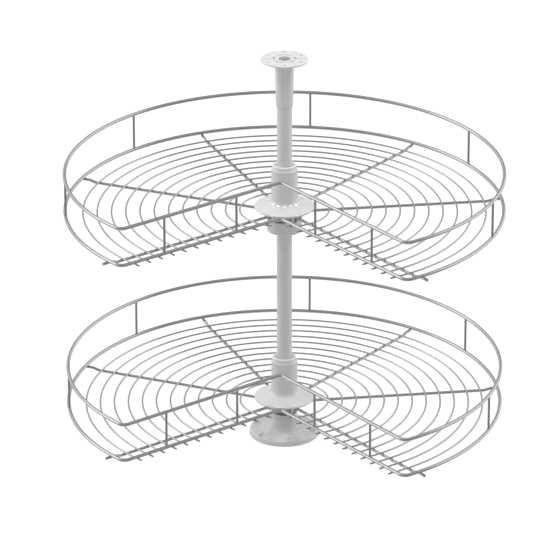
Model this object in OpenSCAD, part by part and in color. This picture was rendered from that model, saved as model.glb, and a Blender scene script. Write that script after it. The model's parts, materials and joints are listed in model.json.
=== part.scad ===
// Corner carousel fitting: two three-quarter round wire trays that turn on one column.
// The origin is the centre of the base flange's underside, on the column's axis, +Z up.
// The open quarter of each tray faces +X and -Y.

/* [Trays] */
// Diameter of each tray over its rim wire
tray_d = 720; // [640:10:860]
// Height between the centres of a tray's bottom rim wire and top rim wire
wall_h = 63; // [50:1:90]
// Height of the lower tray's bottom rim wire above the cabinet floor
lower_tray_z = 64; // [62:1:110]
// Distance from the lower tray up to the upper tray
tray_pitch = 341; // [260:1:420]
// Gap between the hub's disc and the bend where the two cut-out rails meet
rail_gap = 0.8; // [0.8:0.1:4]
// Bend radius where a cut-out rail turns into the round rim
corner_bend = 11; // [8:1:25]
// Bend radius where the two cut-out rails meet beside the hub
apex_bend = 8; // [5:1:14]

/* [Tray wires] */
// Diameter of the wire of the rims and the cut-out rails
rim_wire_d = 6; // [5:0.5:8]
// Diameter of the spokes
spoke_wire_d = 5; // [4:0.5:6]
// Diameter of the ring wires that the goods stand on
ring_wire_d = 3; // [2.5:0.5:4]
// Diameter of the upright posts between the two rims
post_wire_d = 4; // [3:0.5:5]
// Gap at every weld between two wires
weld_gap = 0.1; // [0.05:0.05:0.2]
// Distance from the rim's centre line in to the outermost ring wire
ring_margin = 29; // [27:1:40]
// Distance from one ring wire to the next
ring_pitch = 23.2; // [18:0.2:40]
// No ring wire is smaller than this radius
ring_min_r = 65; // [60:1:120]
// Length that each ring wire runs on past the centre of a cut-out rail
ring_stub = 7; // [4:0.5:10]
// Angle between two posts on the round rim
post_angle = 52; // [40:1:58]
// Distance from the cut-out's inner corner to the first post on each rail
rail_post_near = 90; // [50:1:120]
// Distance from the cut-out's inner corner to the second post on each rail
rail_post_far = 234; // [180:1:270]
// Angle of the two back spokes from the tray's back
back_spoke_angle = 30; // [20:1:40]
// Angle of the two side spokes from the tray's back
side_spoke_angle = 75; // [60:1:90]
// Length that the back and side spokes run on past the rim's centre line
spoke_end = 1.5; // [0:0.5:3]
// Length that the two front spokes run on past the rim's centre line
front_spoke_end = 8; // [4:0.5:12]
// Distance inside the rim's centre line where a spoke's end has come up to the rim
joggle_margin = 8; // [6:0.5:10]
// Slope of the joggle that lifts a spoke's end up to the rim
joggle_angle = 15; // [12:1:25]
// Bend radius of the joggle
joggle_bend = 12; // [8:1:14]

/* [Column] */
// Diameter of the pole
pole_d = 25; // [22:0.5:28]
// Wall of the pole
pole_wall = 1.5; // [1:0.25:2.5]
// Running clearance on the pole, measured on the radius
pole_fit = 0.1; // [0.05:0.05:0.1]
// Clearance of pieces that are pressed or clamped, measured on the radius
seat_fit = 0.05; // [0.05:0.01:0.1]
// Height of the top flange's face above the cabinet floor
column_h = 663; // [620:1:760]
// Distance from the top flange's face down to the pole's upper end
pole_top_gap = 30; // [29:1:31]

/* [Base flange] */
// Diameter of the base flange
base_d = 115; // [100:1:140]
// Height of the base flange's plate at its edge
base_edge_h = 8.5; // [7:0.5:11]
// Height of the base flange's plate where its neck begins
base_plate_h = 12.5; // [11:0.5:16]
// Height of the base flange's neck
base_neck_h = 39; // [34:1:41]
// Diameter of the base flange's neck
base_neck_d = 42; // [41:0.5:46]
// Thickness of the floor under the pole
base_floor = 4; // [3.5:0.5:6]
// Wall that is left above the pocket in the base flange's underside
base_wall = 5; // [3:0.5:6]
// Pitch circle diameter of the base flange's screw holes
base_pcd = 98; // [90:1:100]
// Turn of the first screw hole in the base flange
base_hole_turn = 32.5; // [0:0.5:60]

/* [Top flange] */
// Diameter of the top flange
top_d = 77; // [70:1:100]
// Thickness of the top flange at its edge
top_edge = 3; // [2.5:0.5:5]
// Thickness of the top flange at its sleeve
top_thickness = 7; // [6:0.5:10]
// Diameter of the sleeve under the top flange
sleeve_d = 30; // [29.5:0.5:36]
// Length of the sleeve, measured from the top flange's face
sleeve_len = 82; // [81:1:110]
// Draft of the sleeve, taken off its radius over its length
sleeve_draft = 0.5; // [0:0.1:0.8]
// Height of the cone that the sleeve's lower end tapers to
sleeve_cone_h = 10; // [3:1:12]
// Diameter of the opening in the middle of the top flange
top_opening_d = 20; // [14:0.5:22]
// Diameter of the raised ring round that opening
top_ring_d = 31; // [27:0.5:33]
// Pitch circle diameter of the top flange's screw holes
top_pcd = 61; // [56:1:64]
// Turn of the first screw hole in the top flange
top_hole_turn = 22.5; // [0:0.5:60]

/* [Screw holes] */
// Diameter of the screw holes in both flanges
hole_d = 5; // [4:0.5:5.5]
// Diameter of their countersinks
countersink_d = 9.5; // [8:0.5:10]
// Number of screw holes in each flange
hole_count = 6; // [3:1:8]

/* [Hub] */
// Diameter of the hub's disc
disc_d = 99; // [88:1:110]
// Height of the disc's top edge above the bottom rim wire's centre
disc_edge_top = 3; // [1:0.5:5]
// Thickness of the disc at its edge
disc_edge_h = 3; // [2:0.5:4]
// Slope of the disc's top face
disc_slope = 13.5; // [5:0.5:20]
// Diameter of the hub's neck
neck_d = 43; // [41:0.5:48]
// Height of the hub's neck above the bottom rim wire's centre
neck_h = 68.5; // [50:0.5:80]
// Fillet between the neck and the disc
neck_fillet = 8; // [4:0.5:12]
// Height of the fine groove round the neck
neck_groove_z = 40; // [30:1:48]
// Distance from the bottom rim wire's centre down to the bearing's seat
hub_drop = 18.4; // [18:0.1:20]
// Length of each bush in the hub
bush_len = 16; // [10:1:20]
// Wall of each bush
bush_wall = 3.4; // [2:0.2:3.8]
// Diameter of the collar on top of the hub
cap_d = 38.5; // [37:0.5:40]
// Height of that collar
cap_h = 6.5; // [6:0.5:12]
// Wall of the hub round the bearing
boss_wall = 2.6; // [2:0.1:3.5]
// Wall of the steel ring that the spokes are welded to
hub_ring_wall = 3; // [2:0.5:4]
// Height of the steel ring that the spokes are welded to
hub_ring_h = 10.5; // [9:0.5:11]
// Width of each snap hook beside a spoke
hook_w = 2.5; // [2:0.5:4]
// Depth of each snap hook, measured outwards
hook_depth = 4; // [3:0.5:6]

/* [Bearings] */
// Diameter of the bearing balls
ball_d = 4.5; // [4:0.1:4.6]
// Number of balls in each bearing
ball_count = 12; // [8:1:16]
// Thickness of the steel races
race_h = 1.5; // [1.2:0.1:1.6]
// Width of the steel races
race_w = 7; // [6:0.5:7.5]
// Depth of the groove that the balls run in
race_groove = 0.4; // [0.2:0.1:0.6]

/* [Support collar] */
// Diameter of the collar that carries the upper tray
collar_d = 57; // [50:1:64]
// Height of that collar
collar_h = 22; // [14:1:26]
// Diameter of the collar's grub screws
grub_d = 6; // [4:0.5:8]

/* [Hidden] */

PLASTIC = [0.80, 0.81, 0.82];
PALE_PLASTIC = [0.88, 0.89, 0.90];
PAINTED = [0.76, 0.77, 0.78];
CHROME = [0.62, 0.63, 0.65];
STEEL = [0.45, 0.46, 0.48];
DARK_STEEL = [0.25, 0.25, 0.27];

wire_facets = 20;
bend_facets = 72;
round_facets = 288;
large_bend = 50; // radius from which a bend is faceted as finely as a rim
bore_facets = 96;
hole_facets = 48;
arc_steps = 6;
tiny = 0.01;
band_len = 0.4;
joint_band_h = 0.03;
past = 1; // length that a cut runs past the face it opens
part_gap = 0.3; // gap between loose neighbours
edge_round = 0.8; // light rounding of a moulded edge

// Upper tray's place
upper_tray_z = lower_tray_z + tray_pitch;

// Rim and rails, in the plane of a rim wire
rim_r = (tray_d - rim_wire_d) / 2;
disc_r = disc_d / 2;
cut_offset = (disc_r + rail_gap + rim_wire_d / 2 - apex_bend * (sqrt(2) - 1)) / sqrt(2);
corner_y = corner_bend - cut_offset;
corner_x = sqrt(pow(rim_r - corner_bend, 2) - pow(corner_y, 2));
corner_polar = atan2(corner_y, corner_x);
rail_len = corner_x - cut_offset - apex_bend;
back_angle = 135;
post_span = 2;

// Heights of the wires' centres, from the centre of the bottom rim wire
ring_t = -(rim_wire_d + ring_wire_d) / 2 - weld_gap;
spoke_t = ring_t - (ring_wire_d + spoke_wire_d) / 2 - weld_gap;
spoke_end_t = -(rim_wire_d + spoke_wire_d) / 2 - weld_gap;
spoke_top_t = spoke_t + spoke_wire_d / 2;
joggle_rise = spoke_end_t - spoke_t;
joggle_slope_len = (joggle_rise - 2 * joggle_bend * (1 - cos(joggle_angle))) / sin(joggle_angle);
joggle_run = 2 * joggle_bend * sin(joggle_angle) + joggle_slope_len * cos(joggle_angle);
joggle_r = rim_r - joggle_margin - joggle_run;
ring_max_r = rim_r - ring_margin;
ring_count = floor((ring_max_r - ring_min_r) / ring_pitch) + 1;
front_spoke_angle = 135;
spoke_angles = [
    -front_spoke_angle, -side_spoke_angle, -back_spoke_angle,
    back_spoke_angle, side_spoke_angle, front_spoke_angle
];

// Radii outwards from the pole
bore_relief = 0.9;
race_gap = 0.5;
shoulder_lip = 0.7;
pole_r = pole_d / 2;
bore_r = pole_r + pole_fit;
clear_r = pole_r + bore_relief; // the hub's bore between its two bushes
bush_r = bore_r + bush_wall;
race_in_r = pole_r + race_gap;
race_out_r = race_in_r + race_w;
ball_circle_r = (race_in_r + race_out_r) / 2;
recess_r = race_out_r + 2 * seat_fit;
boss_r = recess_r + boss_wall;
hub_ring_r = boss_r + part_gap;
hub_ring_out_r = hub_ring_r + hub_ring_wall;
seat_r = hub_ring_out_r + 4 * seat_fit;
hook_r = hub_ring_out_r + part_gap;
shoulder_r = hook_r + hook_depth + shoulder_lip;
hook_gap = 1.2; // between a spoke and the hook beside it

// Heights in the hub, from the centre of the bottom rim wire
ball_fit = 0.1;
ring_seat_h = 1.4; // depth of the step that the steel ring sits in
hook_tip_h = 2.2; // height of a hook's tip below the steel ring
hook_grip = 1.7; // length that a hook reaches in under the steel ring
seat_t = -hub_drop;
ball_t = seat_t + race_h - race_groove + ball_fit + ball_d / 2;
hub_race_t = ball_t + ball_d / 2 + ball_fit - race_groove;
recess_t = hub_race_t + race_h + 2 * seat_fit;
boss_t = seat_t + race_h + part_gap;
shoulder_t = spoke_top_t + weld_gap;
hub_ring_top_t = shoulder_t + ring_seat_h;
hub_ring_bottom_t = hub_ring_top_t - hub_ring_h;
hook_tip_t = hub_ring_bottom_t - hook_tip_h;

// Screws
screw_fit = 0.15; // clearance of a screw in its hole, on the radius
socket_share = 0.6; // width of a hexagon socket as a share of its screw
socket_depth = 1.5;
pole_screw_d = 5;
pole_screw_head_d = 9.4;
pole_screw_sink = 0.3;
pole_screw_head_h = (pole_screw_head_d - pole_screw_d) / 2 + 4 * seat_fit;
pole_screw_len = 20;
plug_len = 24;
grub_inset = 2; // depth of a grub screw's end below the collar's face
countersink_inset = 1; // depth of a countersink's mouth below the plate's face

// Details of both flanges
base_rib = 3;
base_pocket_in_r = base_neck_d / 2 + 3;
base_pocket_out_r = base_pcd / 2 - countersink_d / 2 - 3.2;
base_fillet_r = 38;
base_blend = 14; // rounding between the base flange's plate and its foot
base_collar_z = base_neck_h - 9;
base_collar_blend = 4;
base_edge_round = 3;
base_hole_z = base_edge_h
    + (base_plate_h - base_edge_h) * (base_d - base_pcd) / (base_d - 2 * base_fillet_r);
top_root_rise = 1.5; // height above the bore's end where the plate's underside meets the sleeve
top_root_blend = 2.5;
top_spot_wall = 2.4; // thickness of the top flange that each screw head bears on
top_groove_margin = 2;
top_groove_w = 2.5;
top_groove_depth = 1.2;
top_pocket_w = 4;
top_pocket_depth = 2.5;
sleeve_end_wall = 0.8; // wall at the thin end of the sleeve's cone
sleeve_screw_d = 4;
sleeve_screw_head_d = 7;
sleeve_screw_head_h = 2.5;
flange_lift = 30; // travel of the top flange upwards
screw_hold = 6; // length of pole above the sleeve screw when the flange is right up
sleeve_screw_drop = pole_top_gap + flange_lift + screw_hold;
index_hole_d = 4.5;
index_hole_r = 35;
index_hole_angle = 86.5;

// ---- Profiles -------------------------------------------------------------------------

function unit(v) = v / norm(v);

function xy(p) = [p[0], p[1]];

// The points of one corner b between a and c, rounded to the radius given as b's third value
function round_corner(a, b, c) =
    b[2] == undef || b[2] == 0
    ? [xy(b)]
    : let (
        u = unit(xy(a) - xy(b)),
        v = unit(xy(c) - xy(b)),
        half = acos(u * v) / 2,
        centre = xy(b) + unit(u + v) * b[2] / sin(half),
        first = xy(b) + u * b[2] / tan(half) - centre,
        start = atan2(first[1], first[0]),
        side = sign(u[0] * v[1] - u[1] * v[0]),
        sweep = -side * (180 - 2 * half)
    )
    [for (i = [0:arc_steps]) centre + b[2] * [
        cos(start + sweep * i / arc_steps),
        sin(start + sweep * i / arc_steps)
    ]];

// A closed outline whose corners are [x, y] or [x, y, radius]
function rounded(corners) = [
    for (i = [0:len(corners) - 1])
    each round_corner(
        corners[(i + len(corners) - 1) % len(corners)],
        corners[i],
        corners[(i + 1) % len(corners)]
    )
];

// A solid turned about Z from corners given as [radius, height] or [radius, height, rounding]
module turned(corners) {
    rotate_extrude($fn = bore_facets)
        polygon(rounded(corners));
}

// A bore or a disc about Z, from one height to another
module round_between(radius, from, to) {
    translate([0, 0, from])
        cylinder(r = radius, h = to - from, $fn = bore_facets);
}

// Children repeated round Z
module around(count, turn = 0) {
    for (i = [0:count - 1])
        rotate([0, 0, turn + i * 360 / count])
            children();
}

// ---- Wires ----------------------------------------------------------------------------

// A stretch of wire along +X
module straight_wire(length, d) {
    rotate([0, 90, 0])
        cylinder(d = d, h = length, $fn = wire_facets);
}

// A bend to the left, starting at the origin along +X
module wire_bend(bend, turn, d) {
    facets = bend > large_bend ? round_facets : bend_facets;
    translate([0, bend, 0])
        rotate([0, 0, -90])
            rotate_extrude(angle = turn, $fn = facets)
                translate([bend, 0])
                    circle(d = d, $fn = wire_facets);
}

// A wire bent in the XY plane, from the origin along +X. Each step is
// [straight length, bend radius, turn], and a positive turn bends to the left.
// A band a hair thicker than the wire joins each step to the one before it.
module bent_wire(steps, d, band = 0) {
    if (len(steps) > 0) {
        step = steps[0];
        side = step[2] < 0 ? -1 : 1;
        later = [for (i = [1:1:len(steps) - 1]) steps[i]];
        if (band > 0)
            joint_band(d, band);
        if (step[0] > 0)
            straight_wire(step[0], d);
        translate([step[0], 0, 0])
            if (step[2] != 0) {
                if (band > 0 && step[0] > 0)
                    joint_band(d, band);
                mirror([0, side < 0 ? 1 : 0, 0])
                    wire_bend(step[1], abs(step[2]), d);
                translate([0, side * step[1], 0])
                    rotate([0, 0, step[2]])
                        translate([0, -side * step[1], 0])
                            bent_wire(later, d, band);
            }
    }
}

// A short band round a wire that runs along X at the origin
module joint_band(d, band) {
    rotate([0, 90, 0])
        cylinder(d = d + 2 * band, h = band_len, center = true, $fn = wire_facets);
}

// The closed outline of a rim: both cut-out rails, their outer bends and the round rim
module rim_loop() {
    corner_turn = 90 + corner_polar;
    translate([cut_offset + apex_bend, -cut_offset, 0])
        bent_wire([
            [rail_len, corner_bend, corner_turn],
            [0, rim_r, 270 - 2 * corner_polar],
            [0, corner_bend, corner_turn],
            [rail_len, apex_bend, -90]
        ], rim_wire_d, joint_band_h);
}

// A post from one rim wire up to the next, coped to fit both. The rims run along Y here.
module coped_post() {
    difference() {
        cylinder(d = post_wire_d, h = wall_h, $fn = wire_facets);
        for (t = [0, wall_h])
            translate([0, 0, t])
                rotate([90, 0, 0])
                    cylinder(
                        d = rim_wire_d + 2 * weld_gap,
                        h = 3 * post_wire_d,
                        center = true,
                        $fn = bore_facets
                    );
    }
}

// A spoke along +X from the hub's steel ring, lifted at its end to meet the rim
module spoke(end) {
    difference() {
        translate([hub_ring_r, 0, spoke_t])
            rotate([90, 0, 0])
                bent_wire([
                    [joggle_r - hub_ring_r, joggle_bend, joggle_angle],
                    [joggle_slope_len, joggle_bend, -joggle_angle],
                    [joggle_margin + end, 0, 0]
                ], spoke_wire_d);
        round_between(hub_ring_out_r + weld_gap, spoke_t - spoke_wire_d, spoke_t + spoke_wire_d);
    }
}

// One ring wire, whose ends pass under both cut-out rails
module ring_wire(radius) {
    end_angle = asin((cut_offset + ring_stub) / radius);
    rotate([0, 0, -end_angle])
        rotate_extrude(angle = 270 + 2 * end_angle, $fn = round_facets)
            translate([radius, 0])
                circle(d = ring_wire_d, $fn = wire_facets);
}

// ---- Tray, in heights from the centre of its bottom rim wire --------------------------

module tray_rim() {
    color(CHROME)
        rim_loop();
}

module tray_posts() {
    color(CHROME) {
        for (i = [-post_span:post_span])
            rotate([0, 0, back_angle + i * post_angle])
                translate([rim_r, 0, 0])
                    coped_post();
        for (along = [rail_post_near, rail_post_far]) {
            translate([cut_offset + along, -cut_offset, 0])
                rotate([0, 0, 90])
                    coped_post();
            translate([cut_offset, -cut_offset - along, 0])
                coped_post();
        }
    }
}

module tray_spokes() {
    color(CHROME)
        for (angle = spoke_angles)
            rotate([0, 0, back_angle + angle])
                spoke(abs(angle) == front_spoke_angle ? front_spoke_end : spoke_end);
}

module tray_ring_wires() {
    color(CHROME)
        for (i = [0:ring_count - 1])
            translate([0, 0, ring_t])
                ring_wire(ring_max_r - i * ring_pitch);
}

// The steel ring that all spokes are welded to
module hub_ring() {
    color(CHROME)
        turned([
            [hub_ring_r, hub_ring_bottom_t, 0.4],
            [hub_ring_out_r, hub_ring_bottom_t, 0.4],
            [hub_ring_out_r, hub_ring_top_t, 0.4],
            [hub_ring_r, hub_ring_top_t, 0.4]
        ]);
}

// ---- Hub ------------------------------------------------------------------------------

// Neck, saucer disc and bearing boss, turned in one piece
module hub_body() {
    neck_r = neck_d / 2;
    disc_top_t = disc_edge_top + (disc_r - neck_r) * tan(disc_slope);
    groove_r = neck_r - 0.4;
    groove_lip = 0.4;
    under_r = disc_r - 2;
    under_t = disc_edge_top - disc_edge_h;
    shoulder_top_t = under_t + (under_r - shoulder_r) * tan(disc_slope);
    turned([
        [bush_r + seat_fit, neck_h],
        [neck_r, neck_h, edge_round],
        [neck_r, neck_groove_z + 2 * groove_lip],
        [groove_r, neck_groove_z + groove_lip],
        [groove_r, neck_groove_z],
        [neck_r, neck_groove_z - groove_lip],
        [neck_r, disc_top_t, neck_fillet],
        [disc_r, disc_edge_top, 1.2],
        [disc_r, under_t, edge_round],
        [under_r, under_t],
        [shoulder_r, shoulder_top_t, 2],
        [shoulder_r, shoulder_t, 0.5],
        [seat_r, shoulder_t],
        [seat_r, hub_ring_top_t + 2 * seat_fit],
        [boss_r, hub_ring_top_t + 2 * seat_fit],
        [boss_r, boss_t, 0.6],
        [recess_r, boss_t],
        [recess_r, recess_t],
        [bush_r + seat_fit, recess_t],
        [bush_r + seat_fit, recess_t + bush_len],
        [clear_r, recess_t + bush_len],
        [clear_r, neck_h - bush_len],
        [bush_r + seat_fit, neck_h - bush_len]
    ]);
}

// One snap hook that reaches down beside a spoke and grips under the steel ring
module snap_hook() {
    tip_r = hub_ring_out_r - hook_grip;
    back_r = hook_r + hook_depth;
    root_t = shoulder_t + past;
    grip_t = hub_ring_bottom_t - 2 * weld_gap;
    back_taper = 3;
    tip_slope = 0.8;
    rotate([90, 0, 0])
        linear_extrude(height = hook_w)
            polygon([
                [hook_r, root_t],
                [back_r, root_t],
                [back_r, hook_tip_t + back_taper],
                [back_r - hook_depth / 2, hook_tip_t],
                [tip_r, hook_tip_t + tip_slope],
                [tip_r, grip_t],
                [hook_r, grip_t]
            ]);
}

module hub() {
    hook_side = spoke_wire_d / 2 + hook_gap;
    color(PLASTIC)
        union() {
            hub_body();
            for (angle = spoke_angles)
                rotate([0, 0, back_angle + angle]) {
                    translate([0, hook_side + hook_w, 0])
                        snap_hook();
                    translate([0, -hook_side, 0])
                        snap_hook();
                }
        }
}

// Flanged bush with the collar that caps the hub
module top_bush() {
    cap_t = neck_h + 2 * seat_fit;
    cap_r = cap_d / 2;
    top_t = cap_t + cap_h;
    lip_round = 1.6;
    entry = 1.9;
    entry_h = 3;
    color(PALE_PLASTIC)
        turned([
            [bore_r, neck_h - bush_len + 2 * seat_fit],
            [bush_r, neck_h - bush_len + 2 * seat_fit],
            [bush_r, cap_t],
            [cap_r, cap_t],
            [cap_r, top_t, lip_round],
            [bore_r + entry, top_t, 0.5],
            [bore_r + entry, top_t - entry_h],
            [bore_r, top_t - entry_h - entry]
        ]);
}

module bottom_bush() {
    color(PALE_PLASTIC)
        difference() {
            round_between(bush_r, recess_t + seat_fit, recess_t + bush_len - seat_fit);
            round_between(bore_r, recess_t - past, recess_t + bush_len + past);
        }
}

// ---- Bearings -------------------------------------------------------------------------

// A flat steel ring with a groove for the balls in its top or bottom face
module race(bottom, top, groove_t) {
    groove_r = ball_d / 2 + ball_fit;
    difference() {
        round_between(race_out_r, bottom, top);
        round_between(race_in_r, bottom - past, top + past);
        rotate_extrude($fn = bore_facets)
            translate([ball_circle_r, groove_t])
                circle(r = groove_r, $fn = hole_facets);
    }
}

// The race that the hub carries
module hub_race() {
    color(STEEL)
        race(hub_race_t, hub_race_t + race_h, ball_t);
}

module bearing_balls() {
    color(STEEL)
        around(ball_count)
            translate([ball_circle_r, 0, ball_t])
                sphere(d = ball_d, $fn = 32);
}

module bearing_cage() {
    cage_h = 2.2;
    cage_gap = 0.4;
    color(PALE_PLASTIC)
        difference() {
            round_between(race_out_r - cage_gap, ball_t - cage_h / 2, ball_t + cage_h / 2);
            round_between(race_in_r + cage_gap, ball_t - cage_h, ball_t + cage_h);
            around(ball_count)
                translate([ball_circle_r, 0, ball_t - cage_h])
                    cylinder(d = ball_d + cage_gap, h = 2 * cage_h, $fn = hole_facets);
        }
}

// ---- Column ---------------------------------------------------------------------------

// A screw hole up through the base flange's sloping plate
module countersunk_hole(face_z) {
    mouth_z = face_z - countersink_inset;
    cone_h = (countersink_d - hole_d) / 2;
    translate([0, 0, -past])
        cylinder(d = hole_d, h = face_z + past, $fn = hole_facets);
    translate([0, 0, mouth_z - cone_h])
        cylinder(d1 = hole_d, d2 = countersink_d, h = cone_h, $fn = hole_facets);
    translate([0, 0, mouth_z - tiny])
        cylinder(d = countersink_d, h = base_plate_h - mouth_z + past, $fn = hole_facets);
}

module base_flange() {
    base_r = base_d / 2;
    neck_r = base_neck_d / 2;
    pocket_h = base_plate_h - base_wall;
    color(PLASTIC)
        difference() {
            turned([
                [0, 0],
                [base_r, 0],
                [base_r, base_edge_h, base_edge_round],
                [base_fillet_r, base_plate_h, base_blend],
                [neck_r, base_collar_z, base_collar_blend],
                [neck_r, base_neck_h, edge_round],
                [0, base_neck_h]
            ]);
            round_between(pole_r + seat_fit, base_floor, base_neck_h + past);
            difference() {
                round_between(base_pocket_out_r, -past, pocket_h);
                round_between(base_pocket_in_r, -2 * past, pocket_h + past);
                around(hole_count, base_hole_turn)
                    translate([0, -base_rib / 2, -2 * past])
                        cube([base_d, base_rib, pocket_h + 4 * past]);
            }
            around(hole_count, base_hole_turn)
                translate([base_pcd / 2, 0, 0])
                    countersunk_hole(base_hole_z);
            round_between(pole_screw_d / 2 + screw_fit, -past, base_floor + past);
            cylinder(
                d1 = pole_screw_head_d + 4 * screw_fit,
                d2 = pole_screw_d + 2 * screw_fit,
                h = pole_screw_sink + pole_screw_head_h + seat_fit,
                $fn = hole_facets
            );
        }
}

module pole() {
    color(PAINTED)
        difference() {
            round_between(pole_r, base_floor + weld_gap, column_h - pole_top_gap);
            round_between(pole_r - pole_wall, base_floor, column_h);
        }
}

// The plug in the pole's lower end that the screw from below bites into
module pole_plug() {
    plug_r = pole_r - pole_wall - seat_fit;
    color(PLASTIC)
        difference() {
            round_between(plug_r, base_floor + weld_gap, base_floor + plug_len);
            round_between(pole_screw_d / 2, base_floor - past, pole_screw_len + 2);
        }
}

module pole_screw() {
    head_h = pole_screw_head_h;
    shank_r = pole_screw_d / 2 - seat_fit;
    color(STEEL)
        difference() {
            union() {
                translate([0, 0, pole_screw_sink])
                    cylinder(d1 = pole_screw_head_d, r2 = shank_r, h = head_h, $fn = hole_facets);
                round_between(shank_r, pole_screw_sink + head_h / 2, pole_screw_len);
            }
            translate([0, 0, pole_screw_sink - past])
                cylinder(d = pole_screw_d * socket_share, h = past + socket_depth, $fn = 6);
        }
}

// The tall race on the base flange, which also fills the height up to the lower tray
module base_race() {
    color(DARK_STEEL)
        race(base_neck_h + weld_gap, lower_tray_z + seat_t + race_h, lower_tray_z + ball_t);
}

module support_collar() {
    top_z = upper_tray_z + seat_t - weld_gap;
    color(PLASTIC)
        difference() {
            turned([
                [pole_r + seat_fit, top_z - collar_h],
                [collar_d / 2, top_z - collar_h, 2.5],
                [collar_d / 2, top_z, 1],
                [pole_r + seat_fit, top_z]
            ]);
            at_collar_screws(top_z)
                cylinder(d = grub_d + 2 * seat_fit, h = collar_d, $fn = hole_facets);
        }
}

// Children placed on both grub screws' axes, which point outwards along +Z
module at_collar_screws(top_z) {
    for (angle = [back_angle - 45, back_angle + 45])
        translate([0, 0, top_z - collar_h / 2])
            rotate([0, 90, angle])
                translate([0, 0, pole_r + weld_gap])
                    children();
}

module collar_screws() {
    length = collar_d / 2 - pole_r - grub_inset;
    color(STEEL)
        at_collar_screws(upper_tray_z + seat_t - weld_gap)
            difference() {
                cylinder(d = grub_d, h = length, $fn = hole_facets);
                translate([0, 0, length - 2 * socket_depth])
                    cylinder(d = grub_d * socket_share, h = 2 * socket_depth + past, $fn = 6);
            }
}

module collar_race() {
    color(STEEL)
        race(upper_tray_z + seat_t, upper_tray_z + seat_t + race_h, upper_tray_z + ball_t);
}

// Plate and sleeve of the top flange. The sleeve slides on the pole to suit the cabinet.
module top_flange() {
    top_r = top_d / 2;
    sleeve_r = sleeve_d / 2;
    ring_r = top_ring_d / 2;
    pocket_r = ring_r + top_pocket_w;
    groove_in_r = pocket_r - past;
    groove_out_r = top_r - top_groove_margin;
    cone_t = sleeve_cone_h - sleeve_len;
    color(PLASTIC)
        translate([0, 0, column_h])
            difference() {
                turned([
                    [0, 0],
                    [top_r, 0, edge_round],
                    [top_r, -top_edge, edge_round],
                    [sleeve_r, top_root_rise - top_thickness, top_root_blend],
                    [sleeve_r - sleeve_draft, cone_t, 2],
                    [bore_r + sleeve_end_wall, -sleeve_len],
                    [0, -sleeve_len]
                ]);
                round_between(bore_r, -sleeve_len - past, -top_thickness);
                round_between(top_opening_d / 2, -top_thickness - past, past);
                difference() {
                    round_between(pocket_r, -top_pocket_depth, past);
                    round_between(ring_r, -top_pocket_depth - past, 2 * past);
                    around(hole_count, top_hole_turn)
                        translate([0, -top_groove_w / 2, -top_pocket_depth - past])
                            cube([top_d, top_groove_w, top_pocket_depth + 4 * past]);
                }
                around(hole_count, top_hole_turn + 180 / hole_count)
                    translate([groove_in_r, -top_groove_w / 2, -top_groove_depth])
                        cube([groove_out_r - groove_in_r, top_groove_w, top_groove_depth + past]);
                around(hole_count, top_hole_turn)
                    translate([top_pcd / 2, 0, 0]) {
                        translate([0, 0, -top_thickness])
                            cylinder(d = hole_d, h = top_thickness + past, $fn = hole_facets);
                        translate([0, 0, -top_thickness])
                            cylinder(
                                d = countersink_d,
                                h = top_thickness - top_spot_wall,
                                $fn = hole_facets
                            );
                    }
                at_sleeve_screw()
                    cylinder(d = sleeve_screw_d + 2 * seat_fit, h = sleeve_d, $fn = hole_facets);
            }
}

// Children placed on the sleeve screw's axis, which points outwards along +Z
module at_sleeve_screw() {
    translate([0, 0, -sleeve_screw_drop])
        rotate([0, 90, back_angle])
            translate([0, 0, pole_r + part_gap])
                children();
}

module sleeve_screw() {
    shank = sleeve_d / 2 - pole_r;
    head_h = sleeve_screw_head_h;
    color(STEEL)
        translate([0, 0, column_h])
            at_sleeve_screw()
                difference() {
                    union() {
                        cylinder(d = sleeve_screw_d, h = shank + past, $fn = hole_facets);
                        translate([0, 0, shank])
                            cylinder(d = sleeve_screw_head_d, h = head_h, $fn = hole_facets);
                    }
                    translate([0, 0, shank + head_h - socket_depth])
                        cylinder(d = sleeve_screw_d * socket_share, h = head_h, $fn = 6);
                }
}

// ---- Both trays -----------------------------------------------------------------------

module at_lower() {
    translate([0, 0, lower_tray_z])
        children();
}

module at_upper() {
    translate([0, 0, upper_tray_z])
        children();
}

// The upper hub has a small index hole through its disc
module upper_hub() {
    at_upper()
        color(PLASTIC)
            difference() {
                hub();
                rotate([0, 0, index_hole_angle])
                    translate([index_hole_r, 0, -disc_d / 2])
                        cylinder(d = index_hole_d, h = disc_d, $fn = hole_facets);
            }
}

base_flange();
pole();
pole_plug();
pole_screw();
base_race();
support_collar();
collar_screws();
collar_race();
at_lower() hub();  // lower_hub
at_lower() top_bush();  // lower_top_bush
at_lower() bottom_bush();  // lower_bottom_bush
at_lower() hub_race();  // lower_hub_race
at_lower() hub_ring();  // lower_hub_ring
at_lower() tray_spokes();  // lower_spokes
at_lower() tray_ring_wires();  // lower_ring_wires
at_lower() tray_rim();  // lower_bottom_rim
at_lower() translate([0, 0, wall_h]) tray_rim();  // lower_top_rim
at_lower() tray_posts();  // lower_posts
at_lower() bearing_balls();  // lower_bearing_balls
at_lower() bearing_cage();  // lower_bearing_cage
upper_hub();
at_upper() top_bush();  // upper_top_bush
at_upper() bottom_bush();  // upper_bottom_bush
at_upper() hub_race();  // upper_hub_race
at_upper() hub_ring();  // upper_hub_ring
at_upper() tray_spokes();  // upper_spokes
at_upper() tray_ring_wires();  // upper_ring_wires
at_upper() tray_rim();  // upper_bottom_rim
at_upper() translate([0, 0, wall_h]) tray_rim();  // upper_top_rim
at_upper() tray_posts();  // upper_posts
at_upper() bearing_balls();  // upper_bearing_balls
at_upper() bearing_cage();  // upper_bearing_cage
top_flange();
sleeve_screw();
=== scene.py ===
"""Finishes, weld beads, clamp screw and studio for a corner carousel with two wire trays."""
import json
import math

import bmesh
import bpy
from mathutils import Matrix, Vector


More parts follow.
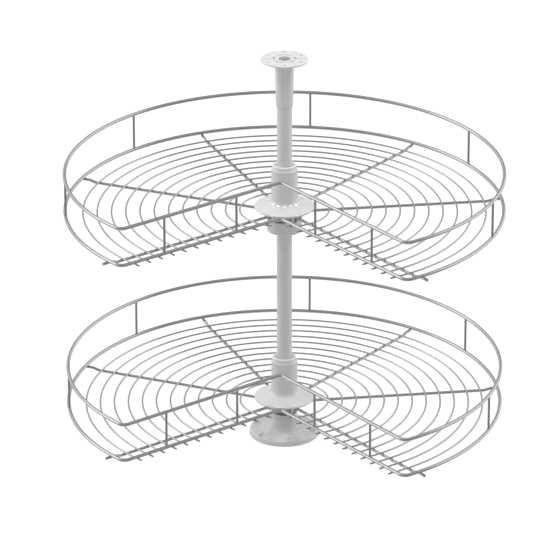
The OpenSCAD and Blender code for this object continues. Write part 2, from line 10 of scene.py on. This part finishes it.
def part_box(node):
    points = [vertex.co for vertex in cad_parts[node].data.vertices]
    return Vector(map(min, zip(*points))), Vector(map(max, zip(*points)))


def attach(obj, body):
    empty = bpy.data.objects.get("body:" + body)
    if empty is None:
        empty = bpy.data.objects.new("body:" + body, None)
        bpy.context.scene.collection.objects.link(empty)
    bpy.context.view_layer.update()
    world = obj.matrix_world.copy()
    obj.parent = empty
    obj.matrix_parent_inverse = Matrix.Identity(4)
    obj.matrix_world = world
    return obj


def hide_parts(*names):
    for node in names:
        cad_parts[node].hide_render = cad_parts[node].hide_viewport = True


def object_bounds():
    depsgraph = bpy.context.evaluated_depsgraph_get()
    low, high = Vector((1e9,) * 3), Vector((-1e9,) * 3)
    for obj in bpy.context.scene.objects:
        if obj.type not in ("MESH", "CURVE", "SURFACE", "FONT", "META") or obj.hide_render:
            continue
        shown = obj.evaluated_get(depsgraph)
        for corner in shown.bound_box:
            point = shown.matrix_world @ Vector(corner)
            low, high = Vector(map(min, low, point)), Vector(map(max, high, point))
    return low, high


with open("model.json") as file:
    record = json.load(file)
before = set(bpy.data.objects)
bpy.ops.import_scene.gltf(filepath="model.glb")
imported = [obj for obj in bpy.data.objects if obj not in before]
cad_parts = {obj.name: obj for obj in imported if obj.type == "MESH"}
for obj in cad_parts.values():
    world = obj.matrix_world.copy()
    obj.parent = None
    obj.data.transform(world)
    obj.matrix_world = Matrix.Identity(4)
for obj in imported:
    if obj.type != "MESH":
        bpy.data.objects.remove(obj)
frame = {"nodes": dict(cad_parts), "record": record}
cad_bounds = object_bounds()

bl_info = {
    "name": "Corner carousel",
    "version": (1, 0, 0),
    "blender": (4, 5, 0),
    "location": "View3D > Sidebar > Carousel",
    "description": "Finishes, weld beads, clamp screw and studio for a corner carousel",
    "category": "Object",
}

TRAYS = ("lower", "upper")
BACK = math.radians(135)  # direction from the column's axis to both trays' backs
EDGE_SPOKES = math.radians(135)  # angle of the spokes along the cut-out from that back

# Wires, in metres
RIM_WIRE_D = 0.006
RING_WIRE_D = 0.003
SPOKE_WIRE_D = 0.005

# Finishes
NOISE_LOW, NOISE_HIGH = 0.3, 0.7  # nearly all of a noise's values lie between these
BEAD_TONE = 0.85  # tone of the weld beads as a share of the wires'
BEAD_DULLNESS = 2  # roughness of the weld beads over that of the wires

# Clamp screw
THREAD_DEPTH = 0.0003  # metres
THREAD_START = 0.25  # distance of the first thread from the shank's end, in pitches
HEAD_SIDE = 0.4  # share of the head's height that stands upright
HEAD_FLAT = 0.45  # share of the head's radius that is flat on top
HEAD_STEPS = 6  # facets of the head's rounding
RECESS_CUTTER = 1.1  # height of the recess's cutter over that of the head, half of it sunk in
RECESS_TAPER = 0.55  # width of the recess at its foot over that at its mouth
SCREW_STEPS = 40  # facets round the screw
CRISP_EDGE = math.radians(38)  # edges that turn by more stay crisp

# Studio
IMAGE_SIDE = 555  # pixels
WHITE = (1.0, 1.0, 1.0)
FLOOR_GAP = 0.0005  # metres from the fitting's foot down to the floor
FLOOR_GLOW = 0.72
FLOOR_MATT = 0.62


# ---- Sizes that the frame gives ------------------------------------------------------


def middle(node):
    """The middle of a node's box."""
    low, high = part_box(node)
    return (low + high) / 2


def reach(node):
    """How far a node reaches from the column's axis towards -X."""
    return -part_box(node)[0].x


RIM_R = reach("lower_bottom_rim") - RIM_WIRE_D / 2
RING_R = reach("lower_ring_wires") - RING_WIRE_D / 2
WALL_H = middle("lower_top_rim").z - middle("lower_bottom_rim").z
HUB_RING_R = reach("lower_hub_ring")
TRAY_Z = {tray: middle(f"{tray}_bottom_rim").z for tray in TRAYS}
RING_Z = middle("lower_ring_wires").z - TRAY_Z["lower"]


# ---- Settings ------------------------------------------------------------------------


def length(name, description, default):
    return bpy.props.FloatProperty(
        name=name, description=description, default=default, min=0.0, precision=5,
        subtype="DISTANCE", unit="LENGTH",
    )


def angle(name, description, degrees):
    return bpy.props.FloatProperty(
        name=name, description=description, default=math.radians(degrees), subtype="ANGLE",
        unit="ROTATION",
    )


def share(name, description, default):
    return bpy.props.FloatProperty(
        name=name, description=description, default=default, min=0.0, max=1.0,
        subtype="FACTOR",
    )


def power(name, description, default):
    return bpy.props.FloatProperty(
        name=name, description=description, default=default, min=0.0, unit="POWER",
    )


def colour(name, description, default):
    return bpy.props.FloatVectorProperty(
        name=name, description=description, default=default, size=3, min=0.0, max=1.0,
        subtype="COLOR",
    )


class TrayWireSettings(bpy.types.PropertyGroup):
    """Places of the wires that are welded to each other."""

    rail_offset: length("Rail offset", "From the column's axis to a cut-out rail", 0.03535)
    ring_pitch: length("Ring pitch", "Distance from one ring wire to the next", 0.0232)
    ring_count: bpy.props.IntProperty(
        name="Ring wires", description="Ring wires in each tray", default=12, min=1, max=30
    )
    post_angle: angle("Post angle", "Angle between two posts on the round rim", 52)
    rail_post_near: length("Near post", "From the inner corner to a rail's first post", 0.090)
    rail_post_far: length("Far post", "From the inner corner to a rail's second post", 0.234)
    back_spokes: angle("Back spokes", "Angle of the back spokes from the tray's back", 30)
    side_spokes: angle("Side spokes", "Angle of the side spokes from the tray's back", 75)
    bead_r: length("Bead radius", "Radius of the bead on two crossed wires", 0.0017)
    bead_h: length("Bead height", "Half the height of that bead", 0.0006)
    collar_r: length("Post bead radius", "Radius of the bead on a post's end", 0.0026)
    collar_h: length("Post bead height", "Half the height of that bead", 0.0007)


class FinishSettings(bpy.types.PropertyGroup):
    """Colours and gloss of the finishes."""

    chrome: colour("Chrome", "Chrome plating", (0.56, 0.56, 0.56))
    chrome_roughness: share("Chrome roughness", "Roughness of the chrome plating", 0.10)
    plastic: colour("Plastic", "Light grey mouldings", (0.84, 0.84, 0.84))
    plastic_roughness: share("Plastic roughness", "Roughness of the mouldings", 0.10)
    bush: colour("Bushes", "Paler plastic of bushes, caps and cages", (0.90, 0.90, 0.90))
    paint: colour("Pole paint", "Powder coat of the pole", (0.82, 0.82, 0.82))
    steel: colour("Bearing steel", "Oiled steel of races and balls", (0.26, 0.26, 0.27))
    zinc: colour("Screw steel", "Zinc plated steel of the screws", (0.55, 0.55, 0.54))


class SleeveScrewSettings(bpy.types.PropertyGroup):
    """Sizes of the screw that clamps the sleeve."""

    shank_r: length("Shank radius", "Radius over the thread", 0.0020)
    shank_start: length("Shank start", "From the column's axis to the shank's end", 0.0128)
    shank_len: length("Shank length", "Length of the shank under the head", 0.0025)
    head_r: length("Head radius", "Radius of the pan head", 0.0035)
    head_h: length("Head height", "Height of the pan head", 0.0025)
    thread_pitch: length("Thread pitch", "Distance from one thread to the next", 0.0007)
    slot_w: length("Recess width", "Width of the cross recess", 0.0009)
    slot_len: length("Recess length", "Length of the cross recess", 0.0042)


class StudioSettings(bpy.types.PropertyGroup):
    """Camera, lights and surroundings."""

    camera_azimuth: angle("Camera azimuth", "Turn of the camera round the column", 52.11)
    camera_distance: length("Camera distance", "Level distance from the column's axis", 7.0)
    camera_height: length("Camera height", "Height of the camera above the floor", 3.3)
    camera_side: bpy.props.FloatProperty(
        name="Camera side",
        description="How far the camera stands to the right of the column's axis",
        default=-0.0113, precision=4, subtype="DISTANCE", unit="LENGTH",
    )
    camera_pitch: angle("Camera pitch", "Angle that the camera looks down", 23.337)
    focal_pixels: bpy.props.FloatProperty(
        name="Focal length", description="Focal length in pixels of the square picture",
        default=4651.1,
    )
    lamp_distance: length("Lamp distance", "Distance of each lamp from the fitting", 2.6)
    lamp_r: length("Lamp radius", "Radius of each round lamp", 0.18)
    lamp_watts: power("Lamp power", "Power of each lamp", 6.5)
    fill_r: length("Fill radius", "Radius of the soft lamp beside the camera", 1.0)
    fill_watts: power("Fill power", "Power of the soft lamp", 3.5)
    surroundings: share("Surroundings", "Brightness of the room all round", 0.51)
    ground: share("Ground", "Extra brightness from below", 0.52)
    left_wall: share("Left wall", "Extra brightness from the left and behind", 0.36)
    right_wall: share("Right wall", "Extra brightness from the right and behind", 0.56)
    dark_side: share("Dark side", "Brightness that is missing on the camera's side", 0.22)
    window: share("Window", "Extra brightness of a window in the left wall", 0.80)
    floor_r: length("Floor radius", "Radius of the pale floor", 40.0)
    dome_r: length("Backdrop radius", "Radius of the white backdrop", 90.0)


SETTINGS = {
    "carousel_wires": TrayWireSettings,
    "carousel_finishes": FinishSettings,
    "carousel_screw": SleeveScrewSettings,
    "carousel_studio": StudioSettings,
}


# ---- Finishes ------------------------------------------------------------------------


def start_finish(name, tone, sockets):
    """A new material, its shader, and the sockets that are the same all over."""
    material = bpy.data.materials.new(name)
    material.use_nodes = True
    material.diffuse_color = (*tone, 1.0)
    shader = material.node_tree.nodes["Principled BSDF"]
    shader.inputs["Base Color"].default_value = (*tone, 1.0)
    for socket, value in sockets.items():
        shader.inputs[socket].default_value = value
    return material, material.node_tree, shader


def grain(tree, size, detail=2.0, stretch=(1.0, 1.0, 1.0)):
    """Noise whose grains are about the size given, in metres."""
    place = tree.nodes.new("ShaderNodeTexCoord")
    mapping = tree.nodes.new("ShaderNodeMapping")
    mapping.inputs["Scale"].default_value = stretch
    noise = tree.nodes.new("ShaderNodeTexNoise")
    noise.inputs["Scale"].default_value = 1.0 / size
    noise.inputs["Detail"].default_value = detail
    tree.links.new(place.outputs["Object"], mapping.inputs["Vector"])
    tree.links.new(mapping.outputs["Vector"], noise.inputs["Vector"])
    return noise.outputs["Fac"]


def vary(tree, source, socket, low, high):
    """Lets noise move a number on the shader between two values."""
    spread = tree.nodes.new("ShaderNodeMapRange")
    spread.inputs["From Min"].default_value = NOISE_LOW
    spread.inputs["From Max"].default_value = NOISE_HIGH
    spread.inputs["To Min"].default_value = low
    spread.inputs["To Max"].default_value = high
    tree.links.new(source, spread.inputs["Value"])
    tree.links.new(spread.outputs["Result"], socket)


def tint(tree, source, shader, dark, light):
    """Lets noise move the base colour between two tones."""
    blend = tree.nodes.new("ShaderNodeMix")
    blend.data_type = "RGBA"
    blend.inputs["A"].default_value = (*dark, 1.0)
    blend.inputs["B"].default_value = (*light, 1.0)
    tree.links.new(source, blend.inputs["Factor"])
    tree.links.new(blend.outputs["Result"], shader.inputs["Base Color"])


def emboss(tree, shader, layers):
    """Stacks bumps on the surface: each layer is (noise, depth in metres)."""
    below = None
    for source, depth in layers:
        bump = tree.nodes.new("ShaderNodeBump")
        bump.inputs["Strength"].default_value = 1.0
        bump.inputs["Distance"].default_value = depth
        tree.links.new(source, bump.inputs["Height"])
        if below is not None:
            tree.links.new(below, bump.inputs["Normal"])
        below = bump.outputs["Normal"]
    tree.links.new(below, shader.inputs["Normal"])


def toned(tone, factor):
    """A tone made brighter or darker."""
    return tuple(min(1.0, channel * factor) for channel in tone)


def chrome_finish(name, tone, roughness):
    """Plated drawn wire: bright, with faint dull patches and fine drawing marks."""
    material, tree, shader = start_finish(name, tone, {"Metallic": 1.0})
    patches = grain(tree, size=0.012, detail=3.0)
    tint(tree, patches, shader, dark=toned(tone, 0.93), light=toned(tone, 1.05))
    vary(tree, patches, shader.inputs["Roughness"], low=roughness * 0.7, high=roughness * 1.4)
    drawing_marks = grain(tree, size=0.0008)
    waves = grain(tree, size=0.006, detail=1.0)
    emboss(tree, shader, [(drawing_marks, 0.000004), (waves, 0.00002)])
    return material


def moulded_finish(name, tone, roughness, mottle):
    """Moulded plastic: a fine eroded grain, soft sink marks and a slightly uneven tone."""
    material, tree, shader = start_finish(
        name, tone, {"Metallic": 0.0, "IOR": 1.49, "Specular IOR Level": 0.9}
    )
    clouds = grain(tree, size=0.018, detail=3.0)
    tint(tree, clouds, shader, dark=toned(tone, 1.0 - mottle), light=toned(tone, 1.0 + mottle))
    sheen = grain(tree, size=0.004)
    vary(tree, sheen, shader.inputs["Roughness"], low=roughness * 0.85, high=roughness * 1.2)
    eroded = grain(tree, size=0.0005)
    sink_marks = grain(tree, size=0.009, detail=1.0)
    emboss(tree, shader, [(eroded, 0.000006), (sink_marks, 0.00003)])
    return material


def powder_coat_finish(name, tone):
    """Powder coat on the steel pole, with its orange peel."""
    material, tree, shader = start_finish(
        name, tone, {"Metallic": 0.0, "IOR": 1.5, "Specular IOR Level": 0.5}
    )
    clouds = grain(tree, size=0.03)
    tint(tree, clouds, shader, dark=toned(tone, 0.98), light=toned(tone, 1.02))
    sheen = grain(tree, size=0.005)
    vary(tree, sheen, shader.inputs["Roughness"], low=0.26, high=0.36)
    orange_peel = grain(tree, size=0.0016, detail=1.0)
    emboss(tree, shader, [(orange_peel, 0.00002)])
    return material


def steel_finish(name, tone, roughness, grind_depth):
    """Ground or plated steel, with grinding marks round the column's axis."""
    material, tree, shader = start_finish(name, tone, {"Metallic": 1.0})
    film = grain(tree, size=0.003, detail=3.0)
    tint(tree, film, shader, dark=toned(tone, 0.8), light=toned(tone, 1.1))
    vary(tree, film, shader.inputs["Roughness"], low=roughness * 0.8, high=roughness * 1.3)
    grinding_marks = grain(tree, size=0.0004, stretch=(1.0, 1.0, 4.0))
    emboss(tree, shader, [(grinding_marks, grind_depth)])
    return material


def finish(slot, context):
    """The finish of a material slot or of the weld beads, made once."""
    name = f"{slot}_finish"
    found = bpy.data.materials.get(name)
    if found:
        return found
    look = context.scene.carousel_finishes
    bead_tone = toned(look.chrome, BEAD_TONE)
    wire = {"roughness": look.chrome_roughness}
    bead = {"roughness": look.chrome_roughness * BEAD_DULLNESS}
    plastic = {"roughness": look.plastic_roughness, "mottle": 0.012}
    pale = {"roughness": look.plastic_roughness, "mottle": 0.008}
    oiled = {"roughness": 0.32, "grind_depth": 0.000004}
    plated = {"roughness": 0.38, "grind_depth": 0.000006}
    recipes = {
        "chrome_wire": (chrome_finish, look.chrome, wire),
        "weld_bead": (chrome_finish, bead_tone, bead),
        "plastic": (moulded_finish, look.plastic, plastic),
        "pale_plastic": (moulded_finish, look.bush, pale),
        "painted_pole": (powder_coat_finish, look.paint, {}),
        "bearing_steel": (steel_finish, look.steel, oiled),
        "screw_steel": (steel_finish, look.zinc, plated),
    }
    maker, tone, details = recipes[slot]
    return maker(name, tuple(tone), **details)


def coat_nodes(context, slots):
    """Gives every CAD node of these material slots its finish."""
    coated = 0
    for row in frame["record"]["subparts"]:
        if row["material_slot"] not in slots:
            continue
        node = frame["nodes"][row["node"]]
        if not node.material_slots:
            node.data.materials.append(None)
        for holder in node.material_slots:
            holder.material = finish(row["material_slot"], context)
        coated += 1
    if not coated:
        raise RuntimeError(f"no node has a material slot in {slots}")


# ---- Pieces --------------------------------------------------------------------------


def link_mesh(name, bm):
    """Turns a bmesh into an object in the scene and frees the bmesh."""
    mesh = bpy.data.meshes.new(name)
    bm.to_mesh(mesh)
    bm.free()
    obj = bpy.data.objects.new(name, mesh)
    bpy.context.scene.collection.objects.link(obj)
    return obj


def make_piece(name, bm, body, material):
    """Turns a bmesh into a smooth piece of the fitting that rides on a body."""
    bmesh.ops.recalc_face_normals(bm, faces=bm.faces)
    piece = link_mesh(name, bm)
    piece.data.shade_smooth()
    piece.data.materials.append(material)
    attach(piece, body)
    return piece


def round_place(radius, turn, z):
    """A place from its distance to the column's axis, its direction and its height."""
    return Vector((radius * math.cos(turn), radius * math.sin(turn), z))


def add_bead(bm, place, radius, height):
    """Adds a flattened ball, whose height is given from its middle."""
    matrix = Matrix.Translation(place) @ Matrix.Diagonal((radius, radius, height, 1.0))
    bmesh.ops.create_uvsphere(bm, u_segments=10, v_segments=6, radius=1.0, matrix=matrix)


def spoke_turns(wires):
    """Directions of the six spokes."""
    spread = (EDGE_SPOKES, wires.side_spokes, wires.back_spokes)
    return [BACK + side * turn for turn in spread for side in (-1, 1)]


def crossing_places(wires, z):
    """Places where a ring wire or the bottom rim is welded to the wire that it crosses."""
    ring_radii = [RING_R - i * wires.ring_pitch for i in range(wires.ring_count)]
    under_ring = z + RING_Z - RING_WIRE_D / 2
    under_rim = z - RIM_WIRE_D / 2
    places = []
    for radius in ring_radii:
        places += [round_place(radius, turn, under_ring) for turn in spoke_turns(wires)]
        along = math.sqrt(radius**2 - wires.rail_offset**2)
        places.append(Vector((along, -wires.rail_offset, under_rim)))
        places.append(Vector((wires.rail_offset, -along, under_rim)))
    places += [round_place(RIM_R, turn, under_rim) for turn in spoke_turns(wires)]
    return places


def post_places(wires, z):
    """Places where a post's two ends are welded to the rims."""
    feet = [round_place(RIM_R, BACK + i * wires.post_angle, z) for i in range(-2, 3)]
    for along in (wires.rail_post_near, wires.rail_post_far):
        feet.append(Vector((wires.rail_offset + along, -wires.rail_offset, z)))
        feet.append(Vector((wires.rail_offset, -wires.rail_offset - along, z)))
    rim_top = Vector((0, 0, RIM_WIRE_D / 2))
    top = Vector((0, 0, WALL_H))
    return [foot + rim_top for foot in feet] + [foot + top - rim_top for foot in feet]


def add_tray_welds(context, tray):
    """Weld beads of one tray, as one piece."""
    wires = context.scene.carousel_wires
    z = TRAY_Z[tray]
    bm = bmesh.new()
    for place in crossing_places(wires, z):
        add_bead(bm, place, wires.bead_r, wires.bead_h)
    for place in post_places(wires, z):
        add_bead(bm, place, wires.collar_r, wires.collar_h)
    for turn in spoke_turns(wires):
        place = round_place(HUB_RING_R, turn, z + RING_Z - (RING_WIRE_D + SPOKE_WIRE_D) / 2)
        add_bead(bm, place, wires.collar_r, wires.collar_r)
    material = finish("weld_bead", context)
    make_piece(f"{tray}_weld_beads", bm, f"{tray}_tray", material)


def spun(profile, steps):
    """A bmesh turned about Z, from points (radius, height) of which both ends lie on Z."""
    bm = bmesh.new()
    points = [bm.verts.new((radius, 0.0, height)) for radius, height in profile]
    edges = [bm.edges.new(pair) for pair in zip(points, points[1:])]
    bmesh.ops.spin(
        bm, geom=points + edges, axis=(0, 0, 1), cent=(0, 0, 0), angle=math.tau,
        steps=steps, use_merge=True,
    )
    bmesh.ops.remove_doubles(bm, verts=bm.verts, dist=0.000001)
    return bm


def screw_profile(screw):
    """Half section of the pan head screw, from the shank's end to the head's crown."""
    crest, root = screw.shank_r, screw.shank_r - THREAD_DEPTH
    pitch = screw.thread_pitch
    threads = int((screw.shank_len - pitch / 2) / pitch)
    profile = [(0.0, 0.0), (root, 0.0)]
    for i in range(threads):
        start = pitch * (i + THREAD_START)
        profile += [(root, start), (crest, start + pitch / 2)]
    profile.append((root, pitch * (threads + THREAD_START)))
    seat, side_h = screw.shank_len, screw.head_h * HEAD_SIDE
    profile += [(root, seat), (screw.head_r, seat), (screw.head_r, seat + side_h)]
    for i in range(1, HEAD_STEPS + 1):
        turn = math.radians(90 / HEAD_STEPS * i)
        across = screw.head_r * (HEAD_FLAT + (1 - HEAD_FLAT) * math.cos(turn))
        up = screw.head_h * (HEAD_SIDE + (1 - HEAD_SIDE) * math.sin(turn))
        profile.append((across, seat + up))
    profile.append((0.0, seat + screw.head_h))
    return profile


def cut_cross(bm, screw):
    """Cuts the cross recess into the crown of a screw head and returns the mesh."""
    crown = screw.shank_len + screw.head_h
    cutter_h = screw.head_h * RECESS_CUTTER
    cutter = bmesh.new()
    for turn in (0.0, math.pi / 2):
        matrix = (
            Matrix.Translation((0, 0, crown))
            @ Matrix.Rotation(turn, 4, "Z")
            @ Matrix.Diagonal((screw.slot_len, screw.slot_w, cutter_h, 1.0))
        )
        made = bmesh.ops.create_cube(cutter, size=1.0, matrix=matrix)
        for vert in made["verts"]:
            if vert.co.z < crown:
                vert.co.x *= RECESS_TAPER
                vert.co.y *= RECESS_TAPER
    for source in (bm, cutter):
        bmesh.ops.recalc_face_normals(source, faces=source.faces)
    blank = link_mesh("screw_blank", bm)
    tool = link_mesh("screw_cutter", cutter)
    cut = blank.modifiers.new("cross_recess", "BOOLEAN")
    cut.operation = "DIFFERENCE"
    cut.solver = "EXACT"
    cut.use_self = True
    cut.object = tool
    graph = bpy.context.evaluated_depsgraph_get()
    shaped = bmesh.new()
    shaped.from_mesh(blank.evaluated_get(graph).to_mesh())
    for used in (blank, tool):
        mesh = used.data
        bpy.data.objects.remove(used)
        bpy.data.meshes.remove(mesh)
    return shaped


def shade_by_angle(piece, limit):
    """Keeps edges sharper than the limit crisp on a smooth piece."""
    bm = bmesh.new()
    bm.from_mesh(piece.data)
    for edge in bm.edges:
        edge.smooth = edge.calc_face_angle(math.pi) < limit
    bm.to_mesh(piece.data)
    bm.free()


def add_screw(context):
    """The pan head screw on the back of the sleeve."""
    screw = context.scene.carousel_screw
    bm = cut_cross(spun(screw_profile(screw), SCREW_STEPS), screw)
    place = round_place(screw.shank_start, BACK, middle("sleeve_screw").z)
    outwards = Matrix.Rotation(BACK, 4, "Z") @ Matrix.Rotation(math.pi / 2, 4, "Y")
    bmesh.ops.transform(bm, matrix=Matrix.Translation(place) @ outwards, verts=bm.verts)
    material = finish("screw_steel", context)
    piece = make_piece("clamp_screw", bm, "top_mount", material)
    shade_by_angle(piece, CRISP_EDGE)
    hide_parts("sleeve_screw")


# ---- Studio --------------------------------------------------------------------------


def plain_glow(name, strength, matt_share):
    """A white surface that glows, so that the shadows on its matt share stay faint."""
    material = bpy.data.materials.new(name)
    material.use_nodes = True
    shader = material.node_tree.nodes["Principled BSDF"]
    shader.inputs["Base Color"].default_value = (*toned(WHITE, matt_share), 1.0)
    shader.inputs["Roughness"].default_value = 1.0
    shader.inputs["Specular IOR Level"].default_value = 0.0
    shader.inputs["Emission Color"].default_value = (*WHITE, 1.0)
    shader.inputs["Emission Strength"].default_value = strength
    return material


def stage_object(name, bm, material):
    """Turns a bmesh into an object of the studio."""
    obj = link_mesh(name, bm)
    obj.data.materials.append(material)
    return obj


def lay_floor(studio):
    """A pale floor and a white backdrop all round, both kept out of the reflections."""
    bm = bmesh.new()
    foot = Matrix.Translation((0, 0, cad_bounds[0].z - FLOOR_GAP))
    bmesh.ops.create_circle(bm, cap_ends=True, segments=96, radius=studio.floor_r, matrix=foot)
    pale = plain_glow("pale_floor", strength=FLOOR_GLOW, matt_share=FLOOR_MATT)
    floor = stage_object("floor", bm, pale)
    bm = bmesh.new()
    bmesh.ops.create_uvsphere(bm, u_segments=48, v_segments=24, radius=studio.dome_r)
    bmesh.ops.reverse_faces(bm, faces=bm.faces)
    bright = plain_glow("white_backdrop", strength=1.0, matt_share=0.0)
    dome = stage_object("backdrop", bm, bright)
    for obj in (floor, dome):
        obj.visible_glossy = False
        obj.visible_diffuse = False
        obj.visible_transmission = False
        obj.visible_shadow = False


def from_camera(studio, turn, elevation):
    """A direction from its turn to the camera's right and its elevation, in degrees."""
    around = studio.camera_azimuth + math.radians(turn)
    up = math.radians(elevation)
    level = Vector((math.sin(around), -math.cos(around), 0)) * math.cos(up)
    return level + Vector((0, 0, math.sin(up)))


def light_surroundings(studio):
    """Grey surroundings with bright ground, two bright walls, a window and a dark side."""
    world = bpy.data.worlds.new("studio_surroundings")
    bpy.context.scene.world = world
    world.use_nodes = True
    tree = world.node_tree
    place = tree.nodes.new("ShaderNodeTexCoord")
    # (turn to the camera's right, elevation, outer and inner radius, added brightness)
    zones = (
        (0, -90, 68, 29, studio.ground),
        (240, 24, 54, 30, studio.left_wall),
        (121, 15, 42, 31, studio.right_wall),
        (13, -33, 89, 46, -studio.dark_side),
        (252, 22, 24, 14, studio.window),
    )
    level = tree.nodes.new("ShaderNodeValue").outputs["Value"]
    level.default_value = studio.surroundings
    for turn, elevation, outer, inner, added in zones:
        towards = tree.nodes.new("ShaderNodeVectorMath")
        towards.operation = "DOT_PRODUCT"
        towards.inputs[1].default_value = from_camera(studio, turn, elevation)
        tree.links.new(place.outputs["Generated"], towards.inputs[0])
        zone = tree.nodes.new("ShaderNodeMapRange")
        zone.interpolation_type = "SMOOTHSTEP"
        zone.inputs["From Min"].default_value = math.cos(math.radians(outer))
        zone.inputs["From Max"].default_value = math.cos(math.radians(inner))
        zone.inputs["To Max"].default_value = added
        tree.links.new(towards.outputs["Value"], zone.inputs["Value"])
        total = tree.nodes.new("ShaderNodeMath")
        tree.links.new(level, total.inputs[0])
        tree.links.new(zone.outputs["Result"], total.inputs[1])
        level = total.outputs["Value"]
    tree.links.new(level, tree.nodes["Background"].inputs["Color"])


def hang_lamps(studio):
    """Five round lamps in an arc and a soft one in front, for the nodes without chrome."""
    aim = Vector((0, 0, middle("pole").z))
    lit = bpy.data.collections.new("lamp_lit")
    for row in frame["record"]["subparts"]:
        if row["material_slot"] != "chrome_wire":
            lit.objects.link(frame["nodes"][row["node"]])
    # (turn to the camera's right, elevation)
    arc = ((0, 70), (73, 58.5), (-73, 58.5), (115, 36), (-115, 36))
    in_front = (15, 0)
    lamps = [(place, studio.lamp_r, studio.lamp_watts) for place in arc]
    lamps.append((in_front, studio.fill_r, studio.fill_watts))
    for i, (place, radius, watts) in enumerate(lamps):
        towards = from_camera(studio, *place)
        data = bpy.data.lights.new(f"lamp_{i}", "AREA")
        data.shape = "DISK"
        data.size = 2 * radius
        data.energy = watts
        lamp = bpy.data.objects.new(f"lamp_{i}", data)
        lamp.location = aim + towards * studio.lamp_distance
        lamp.rotation_euler = towards.to_track_quat("Z", "Y").to_euler()
        lamp.visible_camera = False
        lamp.light_linking.receiver_collection = lit
        bpy.context.scene.collection.objects.link(lamp)


def set_camera(studio):
    """The camera at the photograph's viewing angle."""
    data = bpy.data.cameras.new("camera")
    data.sensor_width = 36.0
    data.lens = studio.focal_pixels / IMAGE_SIDE * data.sensor_width
    data.clip_start = 0.1
    data.clip_end = 400.0
    turn = studio.camera_azimuth
    level = Vector((math.sin(turn), -math.cos(turn), 0)) * studio.camera_distance
    side = Vector((math.cos(turn), math.sin(turn), 0)) * studio.camera_side
    camera = bpy.data.objects.new("camera", data)
    camera.location = level + side + Vector((0, 0, studio.camera_height))
    camera.rotation_euler = (math.pi / 2 - studio.camera_pitch, 0, turn)
    bpy.context.scene.collection.objects.link(camera)
    bpy.context.scene.camera = camera


# ---- Operators and panel -------------------------------------------------------------


class CAROUSEL_OT_plate_wires(bpy.types.Operator):
    """Chrome the rims, rails, posts, spokes, ring wires and hub rings"""

    bl_idname = "carousel.plate_wires"
    bl_label = "Plate the wires"

    def execute(self, context):
        coat_nodes(context, {"chrome_wire"})
        return {"FINISHED"}


class CAROUSEL_OT_finish_mouldings(bpy.types.Operator):
    """Finish the flanges, hubs, collar, bushes and cages in moulded plastic"""

    bl_idname = "carousel.finish_mouldings"
    bl_label = "Finish the mouldings"

    def execute(self, context):
        coat_nodes(context, {"plastic", "pale_plastic"})
        return {"FINISHED"}


class CAROUSEL_OT_finish_column(bpy.types.Operator):
    """Coat the pole and finish the races, balls and screws"""

    bl_idname = "carousel.finish_column"
    bl_label = "Finish the column"

    def execute(self, context):
        coat_nodes(context, {"painted_pole", "bearing_steel", "screw_steel"})
        return {"FINISHED"}


class CAROUSEL_OT_add_welds(bpy.types.Operator):
    """Add a bead at every weld of both trays"""

    bl_idname = "carousel.add_welds"
    bl_label = "Add the weld beads"

    def execute(self, context):
        for tray in TRAYS:
            add_tray_welds(context, tray)
        return {"FINISHED"}


class CAROUSEL_OT_add_clamp_screw(bpy.types.Operator):
    """Add the pan head screw that clamps the sleeve"""

    bl_idname = "carousel.add_clamp_screw"
    bl_label = "Add the clamp screw"

    def execute(self, context):
        add_screw(context)
        return {"FINISHED"}


class CAROUSEL_OT_build_stage(bpy.types.Operator):
    """Lay the floor, hang the lamps and set the camera"""

    bl_idname = "carousel.build_stage"
    bl_label = "Build the studio"

    def execute(self, context):
        studio = context.scene.carousel_studio
        lay_floor(studio)
        light_surroundings(studio)
        hang_lamps(studio)
        set_camera(studio)
        context.scene.view_settings.view_transform = "Standard"
        return {"FINISHED"}


STEPS = (
    CAROUSEL_OT_plate_wires,
    CAROUSEL_OT_finish_mouldings,
    CAROUSEL_OT_finish_column,
    CAROUSEL_OT_add_welds,
    CAROUSEL_OT_add_clamp_screw,
    CAROUSEL_OT_build_stage,
)


class CAROUSEL_PT_panel(bpy.types.Panel):
    """Carousel tools in the sidebar"""

    bl_label = "Carousel"
    bl_idname = "CAROUSEL_PT_panel"
    bl_space_type = "VIEW_3D"
    bl_region_type = "UI"
    bl_category = "Carousel"

    def draw(self, context):
        for step in STEPS:
            self.layout.operator(step.bl_idname)
        for name, group in SETTINGS.items():
            box = self.layout.box()
            for key in group.__annotations__:
                box.prop(getattr(context.scene, name), key)


CLASSES = (*SETTINGS.values(), *STEPS, CAROUSEL_PT_panel)


def register():
    for item in CLASSES:
        bpy.utils.register_class(item)
    for name, group in SETTINGS.items():
        setattr(bpy.types.Scene, name, bpy.props.PointerProperty(type=group))


def unregister():
    for name in SETTINGS:
        delattr(bpy.types.Scene, name)
    for item in reversed(CLASSES):
        bpy.utils.unregister_class(item)


def main():
    register()
    bpy.ops.carousel.plate_wires()
    bpy.ops.carousel.finish_mouldings()
    bpy.ops.carousel.finish_column()
    bpy.ops.carousel.add_welds()
    bpy.ops.carousel.add_clamp_screw()
    bpy.ops.carousel.build_stage()


if __name__ == "__main__":
    main()
